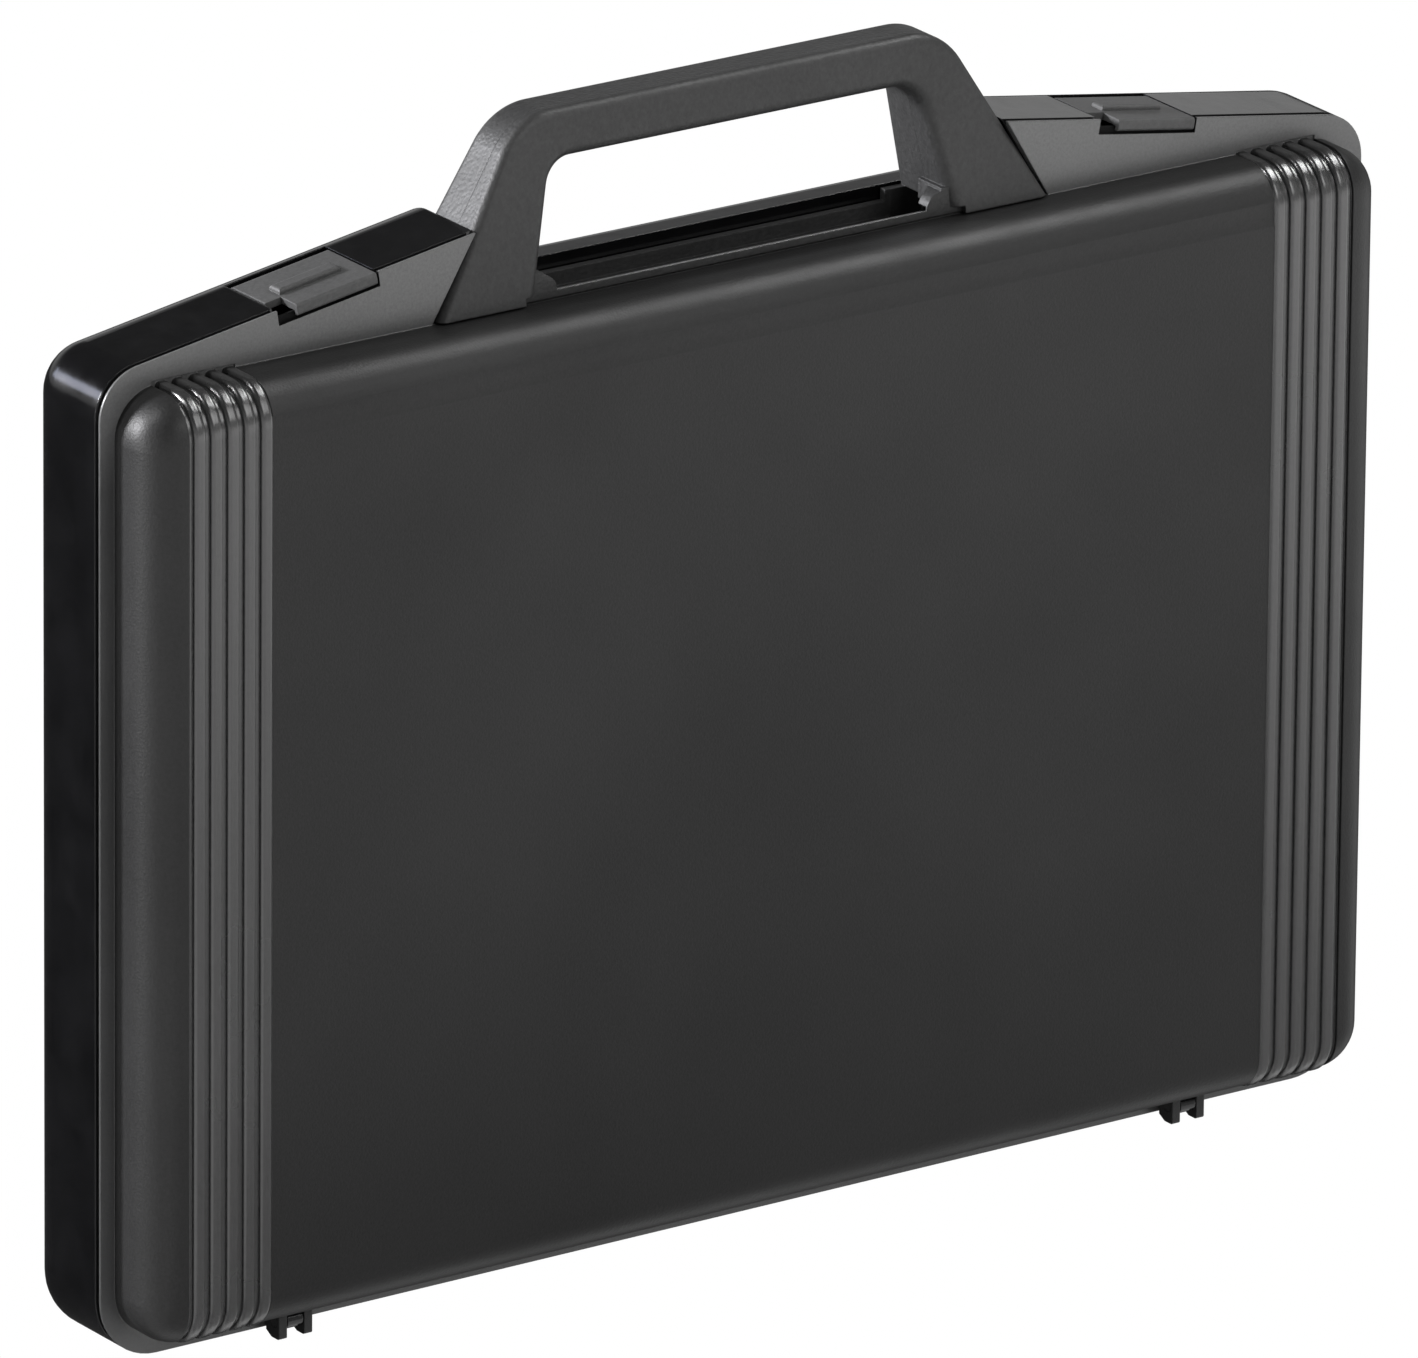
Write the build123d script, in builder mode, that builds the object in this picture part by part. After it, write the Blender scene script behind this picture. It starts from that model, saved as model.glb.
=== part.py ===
from build123d import *
import os
from math import cos, radians, sin, tan

# Moulded attache case, standing on its hinge edge.
# +X to the right, +Y towards the back, +Z up. The origin is under the middle of the case.
# Every length is in millimetres.

# ---- overall sizes ---------------------------------------------------------------------
CASE_WIDTH = 440.0
CASE_DEPTH = 58.9
REAR_SHELL_DEPTH = 36.0
WALL = 2.6
FIT_GAP = 0.2

# ---- levels along Y, from the front to the back ----------------------------------------
BACK = CASE_DEPTH / 2
PARTING = BACK - REAR_SHELL_DEPTH
RIB_RISE = 0.5
PANEL = -CASE_DEPTH / 2 + RIB_RISE
FLANGE_FACE = PARTING - WALL

# ---- levels along Z ----------------------------------------------------------------------
SHELL_BOTTOM = 2.1
PILLOW_BOTTOM = 8.6
LEDGE = 295.2
SADDLE = 298.8
POCKET_FLOOR = 287.0
CREASE_PEAK = 320.2

# ---- outline of the shells ---------------------------------------------------------------
HALF_WIDTH = CASE_WIDTH / 2
PILLOW_HALF_WIDTH = 215.2
BOTTOM_CORNER = 19.0
TOP_CORNER = 15.0
PILLOW_CORNER = 14.5
PILLOW_EDGE = 12.0
BACK_EDGE = 13.0
HUMP_SLOPE = 9.2
PEAK_X = 92.0

# ---- decorative ribs on the front shell ----------------------------------------------------
RIB_COUNT = 5
RIB_PITCH = 5.66
RIB_START = 174.5
RIB_WIDTH = 4.1
RIB_DEPTH = 1.5
RIB_ROUND = 1.3
CHANNEL_Z = 283.4
CHANNEL_WIDTH = 9.0
CHANNEL_DEPTH = 0.6

# ---- handle ----------------------------------------------------------------------------------
LEG_LEAN = 30.7
LEG_FOOT = 106.5
HANDLE_TOP = 349.7
GRIP_UNDER = 335.1
OPENING_LEAN = 13.4
OPENING_FOOT = 73.0
OUTER_BEND = 20.0
INNER_BEND = 9.0
HANDLE_FRONT = PARTING - 5.2
HANDLE_REAR = PARTING + 22.4
HANDLE_SEAM = PARTING + 7.5
FRONT_LEAN = 8.8
REAR_LEAN = 3.9
HANDLE_WALL = 3.0
SEAT_GAP = 0.6
NOTCH_GAP = 0.8
LEDGE_GAP = 0.6
HANDLE_EDGE = 3.0
OPENING_EDGE = 3.6
REAR_OPENING_EDGE = 1.2
TRAY_RIM = 298.0
TRAY_DEPTH = 8.0
TRAY_HALF_LENGTH = 69.5
TRAY_REAR_DROP = 3.5
TRAY_CORNER = 4.0
TRAY_LIP = 1.9
TRAY_STEP = 1.4
COLLAR_TOP = 304.0
COLLAR_BEND = 5.0
COLLAR_BACK = PARTING + 9.0

# ---- latches ---------------------------------------------------------------------------------
LATCH_X = 143.1
LATCH_WIDTH = 33.0
LATCH_PLATE = 2.2
LATCH_LIP = 3.6
LIP_FRONT = -3.1
LIP_THICKNESS = 1.6
LATCH_PIVOT = 21.0
LATCH_BARREL = 3.0
LATCH_PIN_RADIUS = 1.0
LATCH_PIN_LENGTH = 37.2
LATCH_GAP = 0.3
SLOT_GAP = 0.9
WELL_DEPTH = 6.6
WELL_GAP = 0.9
WELL_WALL = 1.7
BAR_LENGTH = 21.0
BAR_WIDTH = 5.5
BAR_HEIGHT = 1.6
BAR_Y = 9.0
BAR_ROUND = 1.1
LIP_ROUND = 0.9
NOTCH_WIDTH = 5.5
NOTCH_LENGTH = 8.0

# ---- hinges ----------------------------------------------------------------------------------
HINGE_X = 158.0
HINGE_Y = PARTING - 7.2
HINGE_Z = 5.0
EAR_FRONT = 2.8
EAR_REACH = 4.0
EAR_HEEL = 1.5
EAR_TOE = 0.8
EAR_WIDTH = 2.7
LUG_WIDTH = 5.2
HINGE_CLEARANCE = 1.6
LUG_RADIUS = 2.8
HINGE_PIN_RADIUS = 1.5
HINGE_PIN_LENGTH = 11.4
EAR_OFFSET = LUG_WIDTH / 2 + FIT_GAP * 2 + EAR_WIDTH / 2

# ---- screws ----------------------------------------------------------------------------------
SCREW_RADIUS = 1.5
SCREW_HEAD_RADIUS = 3.0
SCREW_SHANK_RADIUS = 1.45
SCREW_GAP = 0.1
SCREW_SLOT_LENGTH = 3.2
SCREW_SLOT_WIDTH = 0.7
HANDLE_SCREW_LENGTH = 14.0
SEAT_SCREW_LENGTH = 9.0
BOSS_RADIUS = 3.5
HANDLE_SCREWS = [(-86, 308), (-34, 342.2), (34, 342.2), (86, 308)]
SEAT_SCREW_X = 84.0
SEAT_SCREW_Y = [PARTING + 3.9, PARTING + 14.5]
SEAT_CORE_X = 84.0
SEAT_CORE_WIDTH = 36.0

SIDES = {"left": -1, "right": 1}
os.makedirs("parts", exist_ok=True)


def upright(y):
    """The upright plane at depth y: local x is +X, local y is +Z, and it faces the front."""
    return Plane.XZ.offset(-y)


def side_plane(x):
    """The plane across the case at x: local x is +Y and local y is +Z."""
    return Plane.YZ.offset(x)


def crease_height(x):
    """Height of the sloping top of the shells at a distance x from the middle."""
    return CREASE_PEAK - (x - PEAK_X) * tan(radians(HUMP_SLOPE))


def leg_outer(z, gap=0.0):
    """Half width of the handle's outer side at height z, moved outwards by gap."""
    return LEG_FOOT - (z - LEDGE) * tan(radians(LEG_LEAN)) + gap / cos(radians(LEG_LEAN))


def opening_side(z, gap=0.0):
    """Half width of the finger opening at height z, widened by gap."""
    return OPENING_FOOT - (z - LEDGE) * tan(radians(OPENING_LEAN)) + gap


def rear_lean(z):
    """Depth of the handle's rear face at height z."""
    return HANDLE_REAR - (z - LEDGE) * tan(radians(REAR_LEAN))


def handle_seats():
    """Planes of the handle's screw heads, facing the back."""
    return [
        Plane(origin=(x, rear_lean(z), z), x_dir=(1, 0, 0), z_dir=(0, 1, 0))
        for x, z in HANDLE_SCREWS
    ]


def saddle_seats():
    """Planes of the seat screws' heads under the handle's pocket, facing down."""
    return [
        Plane(origin=(side * SEAT_SCREW_X, y, POCKET_FLOOR - WALL), z_dir=(0, 0, -1))
        for side in SIDES.values()
        for y in SEAT_SCREW_Y
    ]


def save(part, name):
    """Label one finished piece and write it to its own STEP file."""
    part.label = name
    export_step(part, f"parts/{name}.step")


def shell_outline(inset, saddle, leg_gap):
    """Closed outline of a shell seen from the front, with a saddle for the handle."""
    drop = inset / cos(radians(HUMP_SLOPE))
    half = HALF_WIDTH - inset
    slope = tan(radians(HUMP_SLOPE))
    lean = tan(radians(LEG_LEAN))
    foot = leg_outer(LEDGE, leg_gap + inset)
    peak = (foot - PEAK_X + (LEDGE - CREASE_PEAK + drop) * lean) / (1 - slope * lean) + PEAK_X
    peak_z = crease_height(peak) - drop
    saddle_x = leg_outer(saddle, leg_gap + inset)
    with BuildSketch() as outline:
        with BuildLine():
            Polyline(
                (0, SHELL_BOTTOM + inset),
                (half, SHELL_BOTTOM + inset),
                (half, crease_height(half) - drop),
                (peak, peak_z),
                (saddle_x, saddle),
                (0, saddle),
                close=True,
            )
        make_face()
        fillet(outline.vertices().group_by(Axis.X)[-1].sort_by(Axis.Y)[0], BOTTOM_CORNER - inset)
        fillet(outline.vertices().group_by(Axis.X)[-1].sort_by(Axis.Y)[-1], TOP_CORNER - inset)
        mirror(about=Plane.YZ)
    return outline.sketch


def pillow_outline(inset):
    """Rounded rectangle of the raised front, seen from the front."""
    width = 2 * (PILLOW_HALF_WIDTH - inset)
    height = LEDGE - PILLOW_BOTTOM - 2 * inset
    with BuildSketch() as outline:
        with Locations((0, (LEDGE + PILLOW_BOTTOM) / 2)):
            RectangleRounded(width, height, PILLOW_CORNER - inset)
    return outline.sketch


def latch_plane(side):
    """Frame on top of the hump: local x down the slope, local y to the back, local z out."""
    tilt = side * radians(HUMP_SLOPE)
    origin = (side * LATCH_X, PARTING, crease_height(LATCH_X))
    return Plane(origin=origin, x_dir=(cos(tilt), 0, -sin(tilt)), z_dir=(sin(tilt), 0, cos(tilt)))


def latch_section(side):
    """Plane across a latch: local x to the back, local y out of the hump."""
    top = latch_plane(side)
    return Plane(origin=top.origin, x_dir=top.y_dir, z_dir=top.x_dir)


def pin(centre, direction, radius, length):
    """Straight round pin, centred on a point."""
    with BuildPart() as body:
        with BuildSketch(Plane(origin=centre, z_dir=direction)):
            Circle(radius)
        extrude(amount=length / 2, both=True)
    return body.part


# ---- rear shell: the tray of the case, with the hump that carries handle and latches --------
def is_back_edge(edge):
    """True for the back edges of a shell, all but those round the saddle."""
    middle = edge.center()
    over_saddle = middle.Z > POCKET_FLOOR - 2 * WALL and abs(middle.X) < LEG_FOOT
    return not over_saddle


def well(side, margin, floor):
    """Block round one latch: margin wider than the latch, down to floor below the hump."""
    length = LATCH_PIVOT + LATCH_BARREL + margin
    with BuildPart() as block:
        with BuildSketch(latch_plane(side)):
            with Locations((0, length / 2)):
                Rectangle(LATCH_WIDTH + 2 * margin, length)
        extrude(amount=-floor)
    return block.part


def latch_axis_pin(side, radius):
    """Pin along the axis of one latch."""
    frame = latch_plane(side)
    centre = frame.from_local_coords((0, LATCH_PIVOT, -LATCH_BARREL))
    return pin(centre, frame.x_dir, radius, LATCH_PIN_LENGTH)


def hinge_axis_pin(side, radius):
    """Pin along the axis of one hinge."""
    return pin((side * HINGE_X, HINGE_Y, HINGE_Z), (1, 0, 0), radius, HINGE_PIN_LENGTH)


def hinge_lug(side):
    """Lug under the rear shell that reaches forward to the hinge pin and back to a foot."""
    with BuildPart() as lug:
        with BuildSketch(side_plane(side * HINGE_X - LUG_WIDTH / 2)):
            with BuildLine():
                Polyline(
                    (HINGE_Y, HINGE_Z - LUG_RADIUS + 1),
                    (PARTING + 1, SHELL_BOTTOM),
                    (PARTING + 3, 0),
                    (BACK - BACK_EDGE - 2, 0),
                    (BACK - BACK_EDGE + 2, SHELL_BOTTOM + WALL / 2),
                    (PARTING + 1, SHELL_BOTTOM + WALL),
                    (HINGE_Y, HINGE_Z + LUG_RADIUS - 1),
                    close=True,
                )
            make_face()
            with Locations((HINGE_Y, HINGE_Z)):
                Circle(LUG_RADIUS)
        extrude(amount=LUG_WIDTH)
    return lug.part


with BuildPart() as rear_cavity:
    with BuildSketch(upright(PARTING)):
        add(shell_outline(WALL, POCKET_FLOOR - WALL, SEAT_GAP))
    extrude(amount=-(REAR_SHELL_DEPTH - WALL))
    cavity_back = rear_cavity.faces().sort_by(Axis.Y)[-1]
    fillet(cavity_back.edges().filter_by(is_back_edge), BACK_EDGE - WALL)

with BuildPart() as handle_pocket:
    with BuildSketch(upright(PARTING)):
        with BuildLine():
            Polyline(
                (0, POCKET_FLOOR),
                (leg_outer(LEDGE, SEAT_GAP), POCKET_FLOOR),
                (leg_outer(LEDGE, SEAT_GAP), LEDGE),
                (leg_outer(SADDLE, SEAT_GAP), SADDLE),
                (leg_outer(SADDLE, SEAT_GAP), SADDLE + 1),
                (0, SADDLE + 1),
                close=True,
            )
        make_face()
        mirror(about=Plane.YZ)
    extrude(amount=-(HANDLE_REAR + SEAT_GAP - PARTING))

with BuildPart() as rear_shell:
    with BuildSketch(upright(PARTING + FIT_GAP)):
        add(shell_outline(0, SADDLE, SEAT_GAP))
    extrude(amount=-(REAR_SHELL_DEPTH - FIT_GAP))
    rear_back = rear_shell.faces().sort_by(Axis.Y)[-1]
    fillet(rear_back.edges().filter_by(is_back_edge), BACK_EDGE)
    saddle_face = rear_shell.faces().filter_by(Axis.Z).sort_by(Axis.Z)[-1]
    fillet(saddle_face.edges().sort_by(Axis.Y)[-1], BACK_EDGE / 2)
    outer_body = rear_shell.part
    add(rear_cavity.part, mode=Mode.SUBTRACT)
    for side in SIDES.values():
        add(well(side, WELL_GAP + WELL_WALL, WELL_DEPTH + WELL_WALL) & outer_body)
        add(well(side, WELL_GAP, WELL_DEPTH), mode=Mode.SUBTRACT)
        add(latch_axis_pin(side, LATCH_PIN_RADIUS), mode=Mode.SUBTRACT)
        add(hinge_lug(side))
        add(hinge_axis_pin(side, HINGE_PIN_RADIUS), mode=Mode.SUBTRACT)
    add(handle_pocket.part, mode=Mode.SUBTRACT)
    with Locations(*saddle_seats()):
        CounterSinkHole(SCREW_RADIUS, SCREW_HEAD_RADIUS, depth=WALL, counter_sink_angle=90)

save(rear_shell.part, "rear_shell")


# ---- front shell: the lid, a ribbed pillow on a flange that rises into the hump's face --------
def pillow_section(grow, rear):
    """Section across the pillow, local x is +Y: it grows out of the surface by grow."""
    front = PANEL - grow
    with BuildSketch() as section:
        with Locations(((front + rear) / 2, (LEDGE + PILLOW_BOTTOM) / 2)):
            Rectangle(rear - front, LEDGE - PILLOW_BOTTOM + 2 * grow)
        fillet(section.vertices().group_by(Axis.X)[0], PILLOW_EDGE + grow)
    return section.sketch


def rib_strip(x, width, rise, depth):
    """Strip of the pillow's skin at x, from depth under the surface to rise above it."""
    with BuildPart() as strip:
        with BuildSketch(side_plane(x)):
            add(pillow_section(rise, FLANGE_FACE + 0.5))
            add(pillow_section(-depth, FLANGE_FACE + 1), mode=Mode.SUBTRACT)
        extrude(amount=width)
    return strip.part


def is_crest(edge):
    """True for an edge of a rib that stands proud of the pillow."""
    middle = edge.center()
    proud = middle.Z > LEDGE or middle.Z < PILLOW_BOTTOM or middle.Y < PANEL
    return edge.radius > PILLOW_EDGE if edge.geom_type == GeomType.CIRCLE else proud


def rounded_rib(x):
    """One rib with a round crest."""
    with BuildPart() as rib:
        add(rib_strip(x, RIB_WIDTH, RIB_RISE, RIB_DEPTH))
        fillet(rib.faces().filter_by(Axis.X).edges().filter_by(is_crest), RIB_ROUND)
    return rib.part


def hinge_ear(x):
    """Ear under the front shell that carries one end of a hinge pin."""
    with BuildPart() as ear:
        with BuildSketch(side_plane(x - EAR_WIDTH / 2)) as fin:
            Polygon(
                (HINGE_Y - EAR_FRONT, 0),
                (HINGE_Y + EAR_REACH - EAR_FRONT, 0),
                (HINGE_Y + EAR_REACH, EAR_HEEL),
                (HINGE_Y + EAR_REACH, HINGE_Z),
                (FLANGE_FACE + WALL / 2, HINGE_Z),
                (FLANGE_FACE + WALL / 2, PILLOW_BOTTOM + 1),
                (HINGE_Y - EAR_FRONT, PILLOW_BOTTOM + 1),
                align=None,
            )
            fillet(fin.vertices().group_by(Axis.Y)[0], EAR_TOE)
        extrude(amount=EAR_WIDTH)
    return ear.part


def latch_cut(side, front, back, top, bottom):
    """Block cut from the flange for one latch, in the latch's own frame."""
    with BuildPart() as cut:
        with BuildSketch(latch_plane(side).offset(top)):
            with Locations((0, (front + back) / 2)):
                Rectangle(LATCH_WIDTH + 2 * SLOT_GAP, back - front)
        extrude(amount=bottom - top)
    return cut.part


with BuildPart() as front_cavity:
    with BuildSketch(upright(PARTING)):
        add(pillow_outline(WALL))
    extrude(amount=PARTING - PANEL - WALL)
    fillet(front_cavity.faces().sort_by(Axis.Y)[0].edges(), PILLOW_EDGE - WALL)

with BuildPart() as channel:
    channel_radius = (CHANNEL_WIDTH ** 2 / 4 + CHANNEL_DEPTH ** 2) / (2 * CHANNEL_DEPTH)
    with BuildSketch(side_plane(0)):
        with Locations((PANEL + CHANNEL_DEPTH - channel_radius, CHANNEL_Z)):
            Circle(channel_radius)
    extrude(amount=RIB_START, both=True)

with BuildPart() as front_shell:
    with BuildSketch(upright(PARTING - FIT_GAP)):
        add(shell_outline(0, LEDGE, NOTCH_GAP))
    extrude(amount=WALL - FIT_GAP)
    bottom_edge = front_shell.edges().filter_by(Axis.X).group_by(Axis.Z)[0].sort_by(Axis.Y)[-1]
    chamfer(bottom_edge, HINGE_CLEARANCE)
    with BuildSketch(upright(FLANGE_FACE)):
        add(pillow_outline(0))
    extrude(amount=FLANGE_FACE - PANEL)
    fillet(front_shell.faces().sort_by(Axis.Y)[0].edges(), PILLOW_EDGE)
    for side in SIDES.values():
        band_start = RIB_START if side > 0 else -RIB_START - RIB_COUNT * RIB_PITCH
        band_width = RIB_COUNT * RIB_PITCH
        groove_depth = RIB_DEPTH - RIB_RISE
        add(rib_strip(band_start, band_width, 1, groove_depth), mode=Mode.SUBTRACT)
        for index in range(RIB_COUNT):
            rib_side = RIB_START + index * RIB_PITCH
            add(rounded_rib(rib_side if side > 0 else -rib_side - RIB_WIDTH))
    add(channel.part, mode=Mode.SUBTRACT)
    add(front_cavity.part, mode=Mode.SUBTRACT)
    for side in SIDES.values():
        reach = LIP_FRONT - 1
        step = LIP_FRONT + LIP_THICKNESS + LATCH_GAP
        add(latch_cut(side, reach, 1, 2, -LATCH_PLATE - LATCH_GAP), mode=Mode.SUBTRACT)
        add(latch_cut(side, reach, step, 2, -LATCH_LIP - SLOT_GAP), mode=Mode.SUBTRACT)
        with Locations((side * HINGE_X, PARTING, 0)):
            Box(LUG_WIDTH + 4 * LATCH_GAP, 4 * WALL, 2 * (PILLOW_BOTTOM - 0.4), mode=Mode.SUBTRACT)
        for offset in (-EAR_OFFSET, EAR_OFFSET):
            add(hinge_ear(side * HINGE_X + offset))
        add(hinge_axis_pin(side, HINGE_PIN_RADIUS + 0.06), mode=Mode.SUBTRACT)

save(front_shell.part, "front_shell")
for side_name, side in SIDES.items():
    save(hinge_axis_pin(side, HINGE_PIN_RADIUS), f"hinge_pin_{side_name}")


# ---- handle: two hollow halves round a finger opening, with a tray under the fingers ----------
def opening_outline(inset, sill):
    """The finger opening seen from the front, open above sill and shrunk by a negative inset."""
    under = GRIP_UNDER + inset
    with BuildSketch() as opening:
        Polygon(
            (-opening_side(sill, inset), sill),
            (opening_side(sill, inset), sill),
            (opening_side(under, inset), under),
            (-opening_side(under, inset), under),
            align=None,
        )
        fillet(opening.vertices().group_by(Axis.Y)[-1], INNER_BEND + inset)
    return opening.sketch


def loop_outline(inset, foot, sill):
    """The handle seen from the front: a slanted loop from foot up, open above sill."""
    top = HANDLE_TOP - inset
    with BuildSketch() as loop:
        with BuildLine():
            Polyline(
                (0, foot),
                (leg_outer(foot, -inset), foot),
                (leg_outer(top, -inset), top),
                (0, top),
                close=True,
            )
        make_face()
        fillet(loop.vertices().group_by(Axis.Y)[-1].sort_by(Axis.X)[-1], OUTER_BEND - inset)
        mirror(about=Plane.YZ)
        add(opening_outline(inset, sill), mode=Mode.SUBTRACT)
    return loop.sketch


def handle_wedge(inset, foot):
    """Side section of the handle, which gets thinner towards the grip."""
    front = HANDLE_FRONT + inset
    rear = HANDLE_REAR - inset
    front_drift = (HANDLE_TOP + 1 - LEDGE) * tan(radians(FRONT_LEAN))
    rear_drift = (HANDLE_TOP + 1 - LEDGE) * tan(radians(REAR_LEAN))
    with BuildSketch() as wedge:
        Polygon(
            (front, foot),
            (front, LEDGE),
            (front + front_drift, HANDLE_TOP + 1),
            (rear - rear_drift, HANDLE_TOP + 1),
            (rear, LEDGE),
            (rear, foot),
            align=None,
        )
    return wedge.sketch


def handle_loop(inset, foot, sill):
    """The handle's loop, or its hollow when inset is the wall."""
    with BuildPart() as loop:
        with BuildSketch(upright(HANDLE_REAR)):
            add(loop_outline(inset, foot, sill))
        extrude(amount=HANDLE_REAR - HANDLE_FRONT)
        with BuildSketch(Plane.YZ):
            add(handle_wedge(inset, foot - 1))
        extrude(amount=HALF_WIDTH, both=True, mode=Mode.INTERSECT)
    return loop.part


def handle_hollow(foot):
    """The space inside the handle's walls, crossed by the bosses for its screws."""
    with BuildPart() as hollow:
        add(handle_loop(HANDLE_WALL, foot, foot))
        with BuildSketch(upright(HANDLE_REAR)):
            with Locations(*HANDLE_SCREWS):
                Circle(BOSS_RADIUS)
        extrude(amount=HANDLE_REAR - HANDLE_FRONT, mode=Mode.SUBTRACT)
    return hollow.part


def above_tray(wire):
    """Edges of a wire that stand above the tray's rim."""
    return [edge for edge in wire.edges() if edge.center().Z > TRAY_RIM + 2]


def pierced_faces(loop):
    """The loop's front and back faces, the ones that the finger opening goes through."""
    return loop.faces().filter_by(lambda face: len(face.inner_wires()) > 0).sort_by(Axis.Y)


def outer_rims(loop):
    """Edges round the outside of the loop's front and back faces."""
    front, back = pierced_faces(loop)
    return above_tray(front.outer_wire()) + above_tray(back.outer_wire())


def opening_rims(face):
    """Edges round the finger opening in a face of the loop."""
    return [edge for wire in face.inner_wires() for edge in above_tray(wire)]


def collar_section(side):
    """Upstand at one end of the tray, which sweeps up from the rim to the leg."""
    inner = side * TRAY_HALF_LENGTH
    outer = side * (opening_side(TRAY_RIM) + 1)
    with BuildSketch() as section:
        with BuildLine():
            Polyline(
                (inner, TRAY_RIM + COLLAR_BEND),
                (inner, COLLAR_TOP),
                (outer, COLLAR_TOP),
                (outer, TRAY_RIM - 1),
                (inner - side * COLLAR_BEND, TRAY_RIM - 1),
                (inner - side * COLLAR_BEND, TRAY_RIM),
            )
            RadiusArc(
                (inner - side * COLLAR_BEND, TRAY_RIM),
                (inner, TRAY_RIM + COLLAR_BEND),
                side * COLLAR_BEND,
            )
        make_face()
    return section.sketch


with BuildPart() as handle_blank:
    add(handle_loop(0, LEDGE + LEDGE_GAP, TRAY_RIM))
    fillet(outer_rims(handle_blank.part), HANDLE_EDGE)
    fillet(opening_rims(pierced_faces(handle_blank.part)[0]), OPENING_EDGE)
    fillet(opening_rims(pierced_faces(handle_blank.part)[1]), REAR_OPENING_EDGE)
    with BuildSketch(upright(FLANGE_FACE)):
        with Locations((0, LEDGE)):
            Rectangle(2 * (opening_side(LEDGE) + OPENING_EDGE), 2 * (TRAY_RIM - LEDGE))
    extrude(amount=FLANGE_FACE - HANDLE_FRONT, mode=Mode.SUBTRACT)
    with BuildSketch(upright(HANDLE_REAR)):
        with Locations((0, (POCKET_FLOOR + LATCH_GAP + LEDGE + 1) / 2)):
            Rectangle(2 * leg_outer(LEDGE), LEDGE + 1 - POCKET_FLOOR - LATCH_GAP)
    extrude(amount=HANDLE_REAR - PARTING - LATCH_GAP)
    for side in SIDES.values():
        with BuildSketch(upright(COLLAR_BACK)):
            add(collar_section(side))
        extrude(amount=COLLAR_BACK - FLANGE_FACE)
    tray_length = HANDLE_REAR - WALL - PARTING - TRAY_LIP
    with BuildSketch(Plane.XY.offset(TRAY_RIM - TRAY_DEPTH)):
        with Locations((0, PARTING + TRAY_LIP + tray_length / 2)):
            RectangleRounded(2 * TRAY_HALF_LENGTH, tray_length, TRAY_CORNER)
    extrude(amount=TRAY_DEPTH + COLLAR_BEND, mode=Mode.SUBTRACT)
    with BuildSketch(Plane.XY.offset(TRAY_RIM - TRAY_REAR_DROP)):
        with Locations((0, HANDLE_REAR)):
            Rectangle(2 * (TRAY_HALF_LENGTH - TRAY_CORNER), 2 * HANDLE_WALL)
    extrude(amount=TRAY_REAR_DROP + 1, mode=Mode.SUBTRACT)
    with BuildSketch(Plane.XY.offset(TRAY_RIM - TRAY_STEP)):
        with Locations((0, PARTING)):
            Rectangle(2 * TRAY_HALF_LENGTH, 2 * TRAY_LIP)
    extrude(amount=TRAY_STEP + 1, mode=Mode.SUBTRACT)

with BuildPart() as seat_core:
    with BuildSketch(Plane.XY.offset(POCKET_FLOOR)):
        for side in SIDES.values():
            with Locations((side * SEAT_CORE_X, (PARTING + HANDLE_REAR) / 2)):
                Rectangle(SEAT_CORE_WIDTH, HANDLE_REAR - PARTING - 2 * HANDLE_WALL)
        with Locations(*[(seat.origin.X, seat.origin.Y) for seat in saddle_seats()]):
            Circle(BOSS_RADIUS, mode=Mode.SUBTRACT)
    extrude(amount=COLLAR_TOP - 2 * HANDLE_WALL - POCKET_FLOOR)

with BuildPart() as handle_body:
    add(handle_blank.part)
    add(handle_hollow(COLLAR_TOP), mode=Mode.SUBTRACT)
    add(seat_core.part, mode=Mode.SUBTRACT)
    with Locations(*handle_seats()):
        depth = HANDLE_SCREW_LENGTH + 2 * FIT_GAP
        CounterSinkHole(SCREW_RADIUS, SCREW_HEAD_RADIUS, depth=depth, counter_sink_angle=90)
    with Locations(*saddle_seats()):
        Hole(SCREW_RADIUS, depth=SEAT_SCREW_LENGTH + 2 * FIT_GAP)

with BuildPart() as handle_front:
    add(handle_body.part)
    split(bisect_by=upright(HANDLE_SEAM), keep=Keep.TOP)

with BuildPart() as handle_rear:
    add(handle_body.part)
    split(bisect_by=upright(HANDLE_SEAM), keep=Keep.BOTTOM)

save(handle_front.part, "handle_front")
save(handle_rear.part, "handle_rear")


# ---- screws that hold the handle's halves together, and the handle to the rear shell ---------
def screws(seats, length):
    """Group of countersunk cross-slot screws with their heads in the given seats."""
    head_radius = SCREW_HEAD_RADIUS - 2 * SCREW_GAP
    head_height = head_radius - SCREW_SHANK_RADIUS
    with BuildPart() as group:
        for seat in seats:
            with BuildSketch(seat.offset(-SCREW_GAP)):
                Circle(SCREW_SHANK_RADIUS)
            extrude(amount=SCREW_GAP - length)
            with Locations(seat.offset(-SCREW_GAP - head_height / 2)):
                Cone(SCREW_SHANK_RADIUS, head_radius, head_height)
            with Locations(seat.offset(-SCREW_GAP)):
                Box(SCREW_SLOT_LENGTH, SCREW_SLOT_WIDTH, head_height, mode=Mode.SUBTRACT)
                Box(SCREW_SLOT_WIDTH, SCREW_SLOT_LENGTH, head_height, mode=Mode.SUBTRACT)
    return group.part


save(screws(handle_seats(), HANDLE_SCREW_LENGTH), "handle_screws")
save(screws(saddle_seats(), SEAT_SCREW_LENGTH), "seat_screws")


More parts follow.
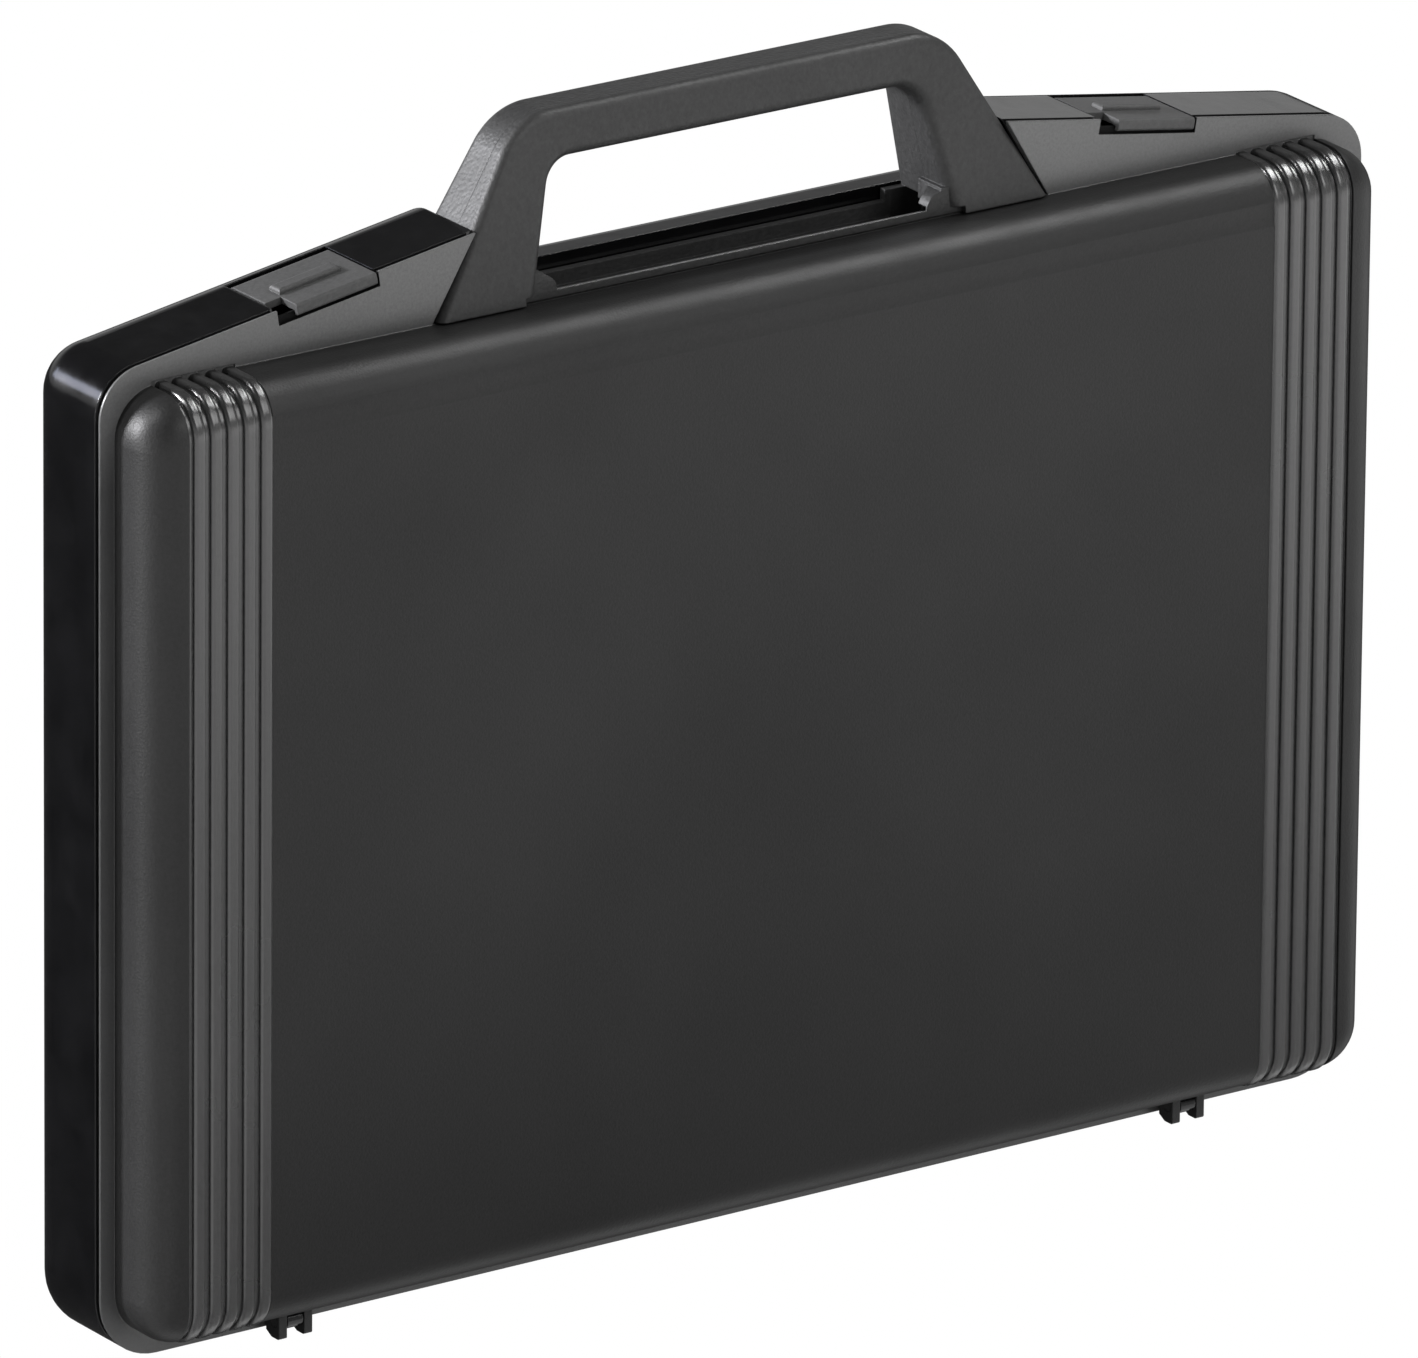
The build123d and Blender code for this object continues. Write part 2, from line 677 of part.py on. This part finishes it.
# ---- latches: a flap hinged at the back of its well, with a lip over the lid's edge ------------
def thumb_bar(side):
    """Raised bar on top of a latch."""
    top = latch_plane(side)
    with BuildPart() as bar:
        with BuildSketch(top):
            with Locations((0, BAR_Y)):
                Rectangle(BAR_LENGTH, BAR_WIDTH)
        extrude(amount=BAR_HEIGHT)
        fillet(bar.faces().sort_by(Axis(top.origin, top.z_dir))[-1].edges(), BAR_ROUND)
    return bar.part


def latch(side):
    """One latch flap with its hinge barrel, hooked lip and raised thumb bar."""
    with BuildPart() as flap:
        with BuildSketch(latch_section(side)):
            with BuildLine():
                Polyline(
                    (LATCH_PIVOT, 0),
                    (LIP_FRONT, 0),
                    (LIP_FRONT, -LATCH_LIP),
                    (LIP_FRONT + LIP_THICKNESS, -LATCH_LIP),
                    (LIP_FRONT + LIP_THICKNESS, -LATCH_PLATE),
                    (LATCH_PIVOT, -LATCH_PLATE),
                    close=True,
                )
            make_face()
            with Locations((LATCH_PIVOT, -LATCH_BARREL)):
                Circle(LATCH_BARREL)
        extrude(amount=LATCH_WIDTH / 2, both=True)
        ridge = flap.edges().filter_by(lambda edge: abs(edge.length - LATCH_WIDTH) < 0.01)
        fillet(ridge.group_by(Axis.Y)[0], LIP_ROUND)
        add(thumb_bar(side))
        with BuildSketch(latch_plane(side).offset(BAR_HEIGHT)):
            with Locations((-LATCH_WIDTH / 2, LIP_FRONT)):
                Rectangle(2 * NOTCH_WIDTH, 2 * NOTCH_LENGTH)
        extrude(amount=-LATCH_LIP - 2 * BAR_HEIGHT, mode=Mode.SUBTRACT)
        add(latch_axis_pin(side, LATCH_PIN_RADIUS + 0.06), mode=Mode.SUBTRACT)
    return flap.part


for side_name, side in SIDES.items():
    save(latch(side), f"latch_{side_name}")
    save(latch_axis_pin(side, LATCH_PIN_RADIUS), f"latch_pin_{side_name}")
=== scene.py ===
from math import cos, radians, sin

import bpy
from mathutils import Matrix, Vector


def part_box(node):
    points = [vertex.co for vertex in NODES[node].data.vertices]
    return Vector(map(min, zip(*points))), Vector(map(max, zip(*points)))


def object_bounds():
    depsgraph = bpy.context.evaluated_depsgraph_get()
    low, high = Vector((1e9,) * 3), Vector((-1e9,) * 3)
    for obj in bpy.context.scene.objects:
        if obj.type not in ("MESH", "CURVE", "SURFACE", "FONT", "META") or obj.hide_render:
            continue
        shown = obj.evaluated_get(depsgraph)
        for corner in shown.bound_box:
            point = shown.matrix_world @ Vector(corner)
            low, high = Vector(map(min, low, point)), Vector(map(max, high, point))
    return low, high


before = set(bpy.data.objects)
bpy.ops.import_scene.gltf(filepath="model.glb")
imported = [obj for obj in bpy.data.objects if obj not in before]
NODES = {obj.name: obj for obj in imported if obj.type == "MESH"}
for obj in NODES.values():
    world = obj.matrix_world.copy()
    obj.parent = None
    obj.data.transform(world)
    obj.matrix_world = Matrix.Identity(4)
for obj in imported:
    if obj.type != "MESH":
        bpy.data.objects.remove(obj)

CAD_LOW, CAD_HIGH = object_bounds()

# ---- stretches of the CAD pieces that get a finish, painted light or painted shade of their own (metres) ---
FLANGE_THICKNESS = 0.0024
FLANGE_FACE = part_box("front_shell")[1].y - FLANGE_THICKNESS
LEDGE = 0.2952
RIB_INNER = 0.1743
RIB_OUTER = 0.2026
RECESS_DEPTH = 0.0003
RECESS_MARGIN = 0.0015
RIM_LOW = 0.2965
RIM_HIGH = 0.3035
RIM_END = 0.0645
BACK_DEPTH = 0.0005
ON_LEVEL = 0.0001
# painted light: over this span of heights the flange's base colour grows lighter towards the top,
# by up to the factor below
HUMP_PAINTED_LIGHT_SPAN = (LEDGE - 0.03, LEDGE + 0.004)
HUMP_PAINTED_LIGHT_GAIN = 2.5

# how far the normal of a face turns towards the back or upwards
FLAT_BACK = 0.9
HALF_BACK = 0.5
SLIGHTLY_UP = 0.3

# ---- the moulding's texture: scales are in cells per metre ---------------------------------------
EDGE_ROUND = 0.0005
EDGE_SAMPLES = 4
DRIFT_SCALE = 9.0
DRIFT_SHARE = 0.45
SPECKLE_TO_GRAIN = 0.6
FINE_TO_GRAIN = 1.9
SMEAR_SCALE = 26.0
HAZE_SCALE = 60.0
PEEL_SCALE = 170.0
PEEL_DEPTH = 0.00012
SCUFF_STRETCH = (140.0, 60.0, 14.0)
LINE_STRETCH = (300.0, 2500.0, 2500.0)
FIBRE_SCALE = 220.0
COLOUR_SPAN = (0.36, 0.62)
NOISE_SPAN = (0.3, 0.7)

# ---- studio levels -------------------------------------------------------------------------------
FLOOR_SIZE = 30.0
FLOOR_GLOW = 0.45
SKY_BY_HEIGHT = ((-1.0, 0.55), (0.2, 0.55), (0.42, 0.07), (1.0, 0.1))
GROUND_BY_DEPTH = ((-1.0, 1.3), (0.08, 1.2), (0.4, 0.05), (1.0, 0.05))
HORIZON = ((-1.0, 0.0), (-0.04, 0.0), (0.02, 1.0), (1.0, 1.0))
WHITE = (1.0, 1.0, 1.0, 1.0)
BLACK = (0.0, 0.0, 0.0, 1.0)
CARD_REACH = 3.0
CARD_LIFT = 0.0005
CARD_GLOW = 2.0
CARD_LEVELS = ((0.0, 0.25), (0.4, 0.36), (0.7, 0.6), (1.0, 0.72), (1.4, 0.9), (3.0, 1.0))
LIGHT_AIM = Vector((0, 0, 0.17))
# name, azimuth, elevation (degrees), distance, width and height (metres), power (watts), colour
LIGHTS = (
    ("key_box", 100, 57, 1.8, (0.8, 0.3), 17, (1, 1, 1)),
    ("back_left_box", -54, 20, 2.2, (0.4, 0.4), 110, (0.97, 0.97, 1.0)),
    ("corner_box", -35, 17, 2.2, (0.5, 0.4), 3.2, (0.75, 0.8, 1.0)),
    ("left_spot", -75, 50, 1.8, (0.16, 0.16), 11, (1, 1, 1)),
    ("left_strip", -82, 0, 1.6, (0.3, 0.3), 7, (1, 1, 1)),
    ("front_fill", 165, 35, 3.0, (2.0, 1.5), 40, (1, 1, 1)),
)

# ---- camera: a long lens at the photograph's viewing angle ---------------------------------------
YAW = radians(34.82)
PITCH = radians(19.72)
ROLL = radians(0.54)
TARGET = Vector((-0.00867, -0.00655, 0.1683))
DISTANCE = 6.248
FOCAL_LENGTH = 549.7
SENSOR_WIDTH = 36.0
CLIP_START = 0.1
CLIP_END = 60


def make_camera():
    """Places the camera so that it looks at TARGET from YAW and PITCH."""
    forward = Vector((sin(YAW) * cos(PITCH), cos(YAW) * cos(PITCH), -sin(PITCH)))
    level = Vector((cos(YAW), -sin(YAW), 0))
    lift = level.cross(forward)
    right = level * cos(ROLL) + lift * sin(ROLL)
    up = lift * cos(ROLL) - level * sin(ROLL)
    data = bpy.data.cameras.new("camera")
    data.lens = FOCAL_LENGTH
    data.sensor_width = SENSOR_WIDTH
    data.clip_start = CLIP_START
    data.clip_end = CLIP_END
    camera = bpy.data.objects.new("camera", data)
    bpy.context.scene.collection.objects.link(camera)
    turn = Matrix((right, up, -forward)).transposed().to_4x4()
    camera.matrix_world = Matrix.Translation(TARGET - forward * DISTANCE) @ turn
    bpy.context.scene.camera = camera


# ---- node helpers --------------------------------------------------------------------------------
def grey(value, blue=1.0):
    return (value, value, value * blue)


def fill_ramp(node, stops):
    """Sets a colour ramp to its stops, each a place and a colour."""
    elements = node.color_ramp.elements
    while len(elements) < len(stops):
        elements.new(0.5)
    for element, (place, colour) in zip(elements, stops):
        element.position = place
        element.color = (*colour, 1.0)
    return node.outputs["Color"]


class Shader:
    """A material's node tree with short calls for the nodes that the finishes use."""

    def __init__(self, name):
        self.material = bpy.data.materials.new(name)
        self.material.use_nodes = True
        self.tree = self.material.node_tree
        self.surface = self.tree.nodes["Principled BSDF"]
        coordinates = self.tree.nodes.new("ShaderNodeTexCoord")
        self.place = coordinates.outputs["Object"]

    def link(self, source, target):
        self.tree.links.new(source, target)

    def drive(self, key, source):
        """Feeds a socket of the surface."""
        self.link(source, self.surface.inputs[key])

    def set(self, key, value):
        """Gives a socket of the surface one value."""
        self.surface.inputs[key].default_value = value

    def axis(self, name):
        """One object coordinate."""
        node = self.tree.nodes.new("ShaderNodeSeparateXYZ")
        self.link(self.place, node.inputs["Vector"])
        return node.outputs[name]

    def stretched(self, scale):
        """Object coordinates scaled along each axis."""
        node = self.tree.nodes.new("ShaderNodeMapping")
        node.inputs["Scale"].default_value = scale
        self.link(self.place, node.inputs["Vector"])
        return node.outputs["Vector"]

    def noise(self, scale, detail=3.0, roughness=0.55, place=None):
        node = self.tree.nodes.new("ShaderNodeTexNoise")
        node.inputs["Scale"].default_value = scale
        node.inputs["Detail"].default_value = detail
        node.inputs["Roughness"].default_value = roughness
        self.link(place or self.place, node.inputs["Vector"])
        return node.outputs["Fac"]

    def cells(self, scale):
        node = self.tree.nodes.new("ShaderNodeTexVoronoi")
        node.feature = "SMOOTH_F1"
        node.inputs["Scale"].default_value = scale
        self.link(self.place, node.inputs["Vector"])
        return node.outputs["Distance"]

    def remap(self, value, low, high, new_low, new_high):
        node = self.tree.nodes.new("ShaderNodeMapRange")
        for key, number in zip(
            ("From Min", "From Max", "To Min", "To Max"), (low, high, new_low, new_high)
        ):
            node.inputs[key].default_value = number
        self.link(value, node.inputs["Value"])
        return node.outputs["Result"]

    def math(self, operation, first, second):
        node = self.tree.nodes.new("ShaderNodeMath")
        node.operation = operation
        for socket, value in zip(node.inputs, (first, second)):
            if isinstance(value, (int, float)):
                socket.default_value = value
            else:
                self.link(value, socket)
        return node.outputs["Value"]

    def colours(self, factor, stops):
        node = self.tree.nodes.new("ShaderNodeValToRGB")
        self.link(factor, node.inputs["Fac"])
        return fill_ramp(node, stops)

    def soft_edges(self):
        """Normals that round off the moulding's sharp edges, so that they catch the light."""
        node = self.tree.nodes.new("ShaderNodeBevel")
        node.samples = EDGE_SAMPLES
        node.inputs["Radius"].default_value = EDGE_ROUND
        return node.outputs["Normal"]

    def bump(self, height, depth, strength, base=None):
        node = self.tree.nodes.new("ShaderNodeBump")
        node.inputs["Distance"].default_value = depth
        node.inputs["Strength"].default_value = strength
        self.link(height, node.inputs["Height"])
        if base is not None:
            self.link(base, node.inputs["Normal"])
        return node.outputs["Normal"]


def plastic(name, shades, rough, grain, depth, specular):
    """Moulded plastic: colour drift, fine spark-eroded grain and uneven gloss."""
    shader = Shader(name)
    drift = shader.math("MULTIPLY", shader.noise(DRIFT_SCALE, detail=2.0), DRIFT_SHARE)
    speckle = shader.noise(grain * SPECKLE_TO_GRAIN, detail=4.0, roughness=0.7)
    shade = shader.math("ADD", drift, shader.math("MULTIPLY", speckle, 1 - DRIFT_SHARE))
    stops = [(place, grey(value)) for place, value in zip(COLOUR_SPAN, shades)]
    shader.drive("Base Color", shader.colours(shade, stops))
    smear = shader.noise(SMEAR_SCALE)
    shader.drive("Roughness", shader.remap(smear, *NOISE_SPAN, *rough))
    pebble = shader.cells(grain)
    fine = shader.noise(grain * FINE_TO_GRAIN, detail=2.0)
    relief = shader.bump(pebble, depth, strength=0.9, base=shader.soft_edges())
    relief = shader.bump(fine, depth * 0.5, strength=0.6, base=relief)
    shader.drive("Normal", relief)
    shader.set("Specular IOR Level", specular)
    return shader


def gloss_plastic(name, shades, rough, specular):
    """Polished black moulding: slight orange peel, faint scuffs and dust."""
    shader = Shader(name)
    haze = shader.noise(HAZE_SCALE, detail=4.0, roughness=0.6)
    dark, light = shades
    shader.drive("Base Color", shader.colours(haze, ((0.35, dark), (0.75, light))))
    along = shader.stretched(SCUFF_STRETCH)
    scuff = shader.noise(1.0, detail=5.0, roughness=0.7, place=along)
    shader.drive("Roughness", shader.remap(scuff, 0.35, 0.8, *rough))
    peel = shader.noise(PEEL_SCALE, detail=2.0)
    relief = shader.bump(peel, PEEL_DEPTH, strength=0.25, base=shader.soft_edges())
    shader.drive("Normal", relief)
    shader.set("Specular IOR Level", specular)
    return shader


def steel(name, value, rough):
    """Drawn steel with fine lines and a little tarnish."""
    shader = Shader(name)
    along = shader.stretched(LINE_STRETCH)
    lines = shader.noise(1.0, detail=4.0, roughness=0.6, place=along)
    stops = list(zip(NOISE_SPAN, (grey(value * 0.6), grey(value))))
    shader.drive("Base Color", shader.colours(lines, stops))
    shader.drive("Roughness", shader.remap(lines, *NOISE_SPAN, rough, rough + 0.2))
    shader.drive("Normal", shader.bump(lines, 0.00003, strength=0.5))
    shader.set("Metallic", 1.0)
    return shader


def dress(node, *materials):
    """Gives a CAD node its materials, one for each slot."""
    slots = NODES[node].data.materials
    slots.clear()
    for material in materials:
        slots.append(material.material)


def faces_where(node, index, test):
    """Puts the faces of a CAD node that pass the test into a material slot."""
    for face in NODES[node].data.polygons:
        if test(face.center, face.normal):
            face.material_index = index


# ---- finishes ------------------------------------------------------------------------------------
# name, dark and light shade, roughness range, grain (cells per metre), relief (metres), specular
LID = plastic("lid_grain", (0.006, 0.012), (0.42, 0.5), 1500.0, 0.00006, 0.28)
RIBS = plastic("rib_grain", (0.012, 0.024), (0.21, 0.29), 1300.0, 0.00002, 0.85)
HUMP = plastic("hump_satin_painted_light", (0.024, 0.038), (0.3, 0.38), 1800.0, 0.00002, 0.55)
HANDLE = plastic("handle_grain", (0.014, 0.028), (0.44, 0.56), 900.0, 0.00012, 0.36)
LATCH = plastic("latch_grain", (0.042, 0.066), (0.46, 0.56), 1500.0, 0.00003, 0.25)
BACK = plastic("back_grain", (0.009, 0.015), (0.44, 0.48), 1500.0, 0.00006, 0.34)
# painted shade: a near-black finish that stands in for the shadow in the recesses behind the
# latches
RECESS_PAINTED_SHADE = plastic("recess_painted_shade", (0.002, 0.004), (0.6, 0.7), 1500.0, 0.00003, 0.1)
# partly real finish (low roughness, full specular) and partly a painted highlight: the paler base
# colour stands in for the light line along the rim's rounded edge
RIM_PAINTED_HIGHLIGHT = plastic("tray_rim_painted_highlight", (0.05, 0.08), (0.22, 0.3), 900.0, 0.00004, 1.0)
SHELL = gloss_plastic("shell_gloss", (grey(0.0012, 1.15), grey(0.003, 1.1)), (0.09, 0.22), 0.42)
PIN = steel("pin_steel", 0.1, 0.3)
SCREW = steel("screw_steel", 0.12, 0.35)


def paint_light_on_hump():
    """Painted light on the flange's smooth upper part, behind the handle's legs: its base colour
    brightens with height.
    """
    lift = HUMP.remap(HUMP.axis("Z"), *HUMP_PAINTED_LIGHT_SPAN, 1.0, HUMP_PAINTED_LIGHT_GAIN)
    plain = HUMP.surface.inputs["Base Color"].links[0].from_socket
    scale = HUMP.tree.nodes.new("ShaderNodeVectorMath")
    scale.operation = "SCALE"
    HUMP.link(plain, scale.inputs["Vector"])
    HUMP.link(lift, scale.inputs["Scale"])
    HUMP.drive("Base Color", scale.outputs["Vector"])


def dress_lid():
    """Grain on the pillow, brighter ribs, a satin flange with painted light towards its top, and
    painted shade on the recesses behind the latches.
    """
    dress("front_shell", LID, RIBS, HUMP, RECESS_PAINTED_SHADE)
    paint_light_on_hump()
    faces_where(
        "front_shell", 1,
        lambda c, n: RIB_INNER < abs(c.x) < RIB_OUTER and c.y < FLANGE_FACE - ON_LEVEL,
    )
    faces_where("front_shell", 2, lambda c, n: c.y > FLANGE_FACE - ON_LEVEL)
    # painted shade: the lid's faces in the recess behind each latch get the near-black finish in
    # place of a deeper shadow
    for latch in ("latch_left", "latch_right"):
        low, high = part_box(latch)
        faces_where(
            "front_shell", 3,
            lambda c, n: c.y > FLANGE_FACE + RECESS_DEPTH and n.y < HALF_BACK and c.z > LEDGE
            and low.x - RECESS_MARGIN < c.x < high.x + RECESS_MARGIN,
        )


def dress_case():
    dress_lid()
    dress("rear_shell", SHELL, BACK)
    faces_where(
        "rear_shell", 1,
        lambda c, n: c.y > CAD_HIGH.y - BACK_DEPTH and n.y > FLAT_BACK,
    )
    dress("handle_front", HANDLE, RIM_PAINTED_HIGHLIGHT)
    # the tray rim's upward faces get the finish with the painted highlight
    faces_where(
        "handle_front", 1,
        lambda c, n: RIM_LOW < c.z < RIM_HIGH and abs(c.x) < RIM_END and n.z > SLIGHTLY_UP,
    )
    dress("handle_rear", HANDLE)
    dress("handle_screws", SCREW)
    dress("seat_screws", SCREW)
    for side in ("left", "right"):
        dress(f"latch_{side}", LATCH)
        dress(f"latch_pin_{side}", PIN)
        dress(f"hinge_pin_{side}", PIN)


# ---- studio: a white floor, a reflector, a dimmer room for reflections, and softboxes ------------
def make_sheet(name, corners, shader):
    """A flat staged object with one material, in the order of its corners."""
    mesh = bpy.data.meshes.new(name)
    mesh.from_pydata(corners, [], [(0, 1, 2, 3)])
    mesh.materials.append(shader.material)
    sheet = bpy.data.objects.new(name, mesh)
    bpy.context.scene.collection.objects.link(sheet)
    return sheet


def make_floor():
    """Pale paper floor that lights the case softly and isn't seen in its gloss or by the camera."""
    shader = Shader("floor_paper")
    fibre = shader.noise(FIBRE_SCALE)
    stops = list(zip(NOISE_SPAN, (grey(0.86), grey(0.9))))
    shader.drive("Base Color", shader.colours(fibre, stops))
    shader.drive("Normal", shader.bump(fibre, 0.0001, strength=0.2))
    shader.set("Roughness", 0.9)
    shader.set("Specular IOR Level", 0.1)
    shader.set("Emission Color", WHITE)
    shader.set("Emission Strength", FLOOR_GLOW)
    size = FLOOR_SIZE
    z = CAD_LOW.z
    corners = [(-size, -size, z), (size, -size, z), (size, size, z), (-size, size, z)]
    floor = make_sheet("floor", corners, shader)
    floor.visible_glossy = False
    floor.visible_camera = False


def make_card():
    """Reflector on the floor in front of the lid that only gloss sees, brightest to its right."""
    shader = Shader("front_card")
    reach = shader.math("SUBTRACT", shader.axis("X"), shader.axis("Y"))
    along = shader.remap(reach, 0.0, CARD_REACH, 0.0, 1.0)
    stops = [(place / CARD_REACH, grey(glow)) for place, glow in CARD_LEVELS]
    shader.drive("Emission Color", shader.colours(along, stops))
    shader.set("Emission Strength", CARD_GLOW)
    shader.set("Base Color", BLACK)
    shader.set("Specular IOR Level", 0.0)
    z = CAD_LOW.z + CARD_LIFT
    left, right = CAD_LOW.x, CARD_REACH
    near, far = CAD_LOW.y, -CARD_REACH
    corners = [(left, near, z), (left, far, z), (right, far, z), (right, near, z)]
    card = make_sheet("front_card", corners, shader)
    card.visible_camera = False
    card.visible_diffuse = False
    card.visible_shadow = False
    card.visible_transmission = False


def area_light(name, azimuth, elevation, distance, size, power, colour):
    """Softbox aimed at the case. Azimuth 0 is behind the case (+Y), 90 on its right (+X)."""
    data = bpy.data.lights.new(name, "AREA")
    data.shape = "RECTANGLE"
    data.size, data.size_y = size
    data.energy = power
    data.color = colour
    light = bpy.data.objects.new(name, data)
    bpy.context.scene.collection.objects.link(light)
    a, e = radians(azimuth), radians(elevation)
    offset = Vector((sin(a) * cos(e), cos(a) * cos(e), sin(e))) * distance
    light.location = LIGHT_AIM + offset
    light.rotation_mode = "QUATERNION"
    light.rotation_quaternion = (-offset).to_track_quat("-Z", "Y")
    light.visible_camera = False


def make_sky():
    """A pale band at the horizon under a dim ceiling, with a floor that is dimmer at the back."""
    world = bpy.data.worlds.new("studio")
    bpy.context.scene.world = world
    world.use_nodes = True
    tree = world.node_tree
    background = tree.nodes["Background"]
    coordinates = tree.nodes.new("ShaderNodeTexCoord")
    split = tree.nodes.new("ShaderNodeSeparateXYZ")
    tree.links.new(coordinates.outputs["Generated"], split.inputs["Vector"])

    def ramp(socket, stops):
        """A grey for each value of a direction's component, which runs from -1 to 1."""
        shift = tree.nodes.new("ShaderNodeMapRange")
        shift.inputs["From Min"].default_value = -1.0
        tree.links.new(socket, shift.inputs["Value"])
        node = tree.nodes.new("ShaderNodeValToRGB")
        tree.links.new(shift.outputs["Result"], node.inputs["Fac"])
        return fill_ramp(node, [((place + 1) / 2, grey(value)) for place, value in stops])

    def mix(factor, first, second):
        node = tree.nodes.new("ShaderNodeMix")
        node.data_type = "RGBA"
        sockets = {socket.identifier: socket for socket in node.inputs}
        tree.links.new(factor, sockets["Factor_Float"])
        for key, colour in (("A_Color", first), ("B_Color", second)):
            if isinstance(colour, tuple):
                sockets[key].default_value = colour
            else:
                tree.links.new(colour, sockets[key])
        return next(s for s in node.outputs if s.identifier == "Result_Color")

    upper = ramp(split.outputs["Z"], SKY_BY_HEIGHT)
    lower = ramp(split.outputs["Y"], GROUND_BY_DEPTH)
    above = ramp(split.outputs["Z"], HORIZON)
    room = mix(above, lower, upper)
    path = tree.nodes.new("ShaderNodeLightPath")
    seen = mix(path.outputs["Is Camera Ray"], room, WHITE)
    tree.links.new(seen, background.inputs["Color"])
    background.inputs["Strength"].default_value = 1.0


make_camera()
make_floor()
make_sky()
make_card()
for light in LIGHTS:
    area_light(*light)
dress_case()
bpy.context.scene.view_settings.view_transform = "Standard"
bpy.context.scene.view_settings.look = "None"
